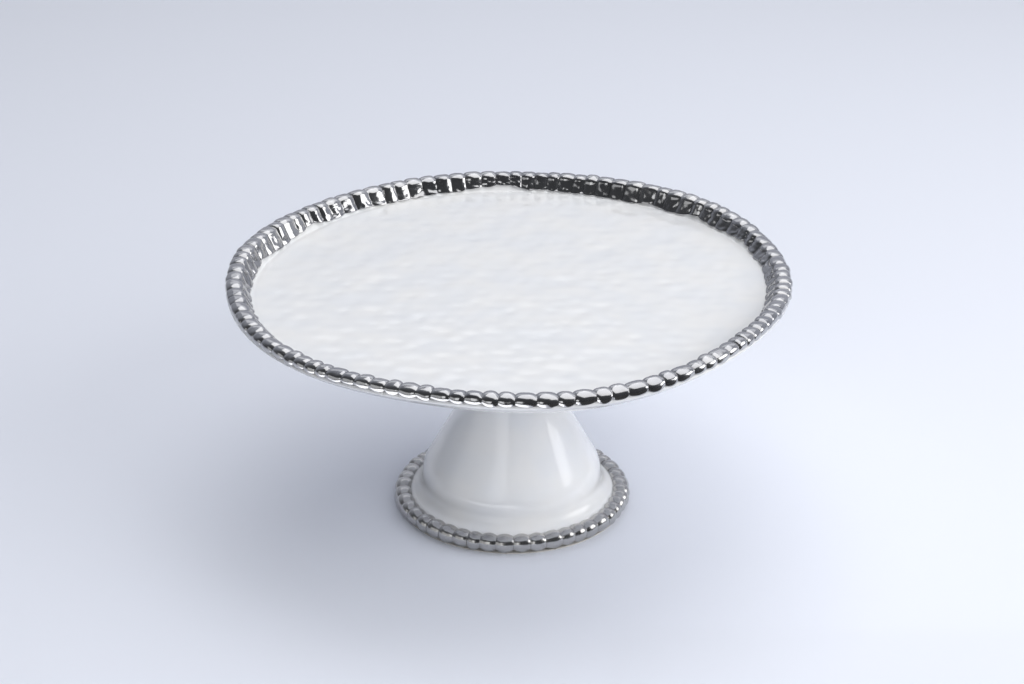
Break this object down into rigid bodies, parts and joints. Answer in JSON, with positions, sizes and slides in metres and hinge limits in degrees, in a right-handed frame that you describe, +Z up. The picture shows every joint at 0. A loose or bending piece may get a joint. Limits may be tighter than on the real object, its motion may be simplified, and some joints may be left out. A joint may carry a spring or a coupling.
{
  "type": "cake stand",
  "caption": "Footed round cake stand: wavy-edged dished white plate with a silver beaded rim, on a hollow bell pedestal with a silver beaded foot.",
  "frame": {"origin": "centre of the foot, on the table", "axes": "+Z up along the pedestal's axis; -Y is the side that the reference view looks at; +X to that view's right"},
  "size_m": [0.3099, 0.3099, 0.1447],
  "materials": {
    "white_glaze": "polished",
    "mirror_lustre": "polished",
    "satin_lustre": "satin",
    "bare_clay": "matte"
  },
  "bodies": {
    "root": {"plate": "white_glaze", "rim_beads": "mirror_lustre", "joint_luting": "white_glaze", "pedestal_cone": "white_glaze", "pedestal_bell": "white_glaze", "foot_beads": "satin_lustre", "foot_ring": "bare_clay"}
  },
  "joints": []
}
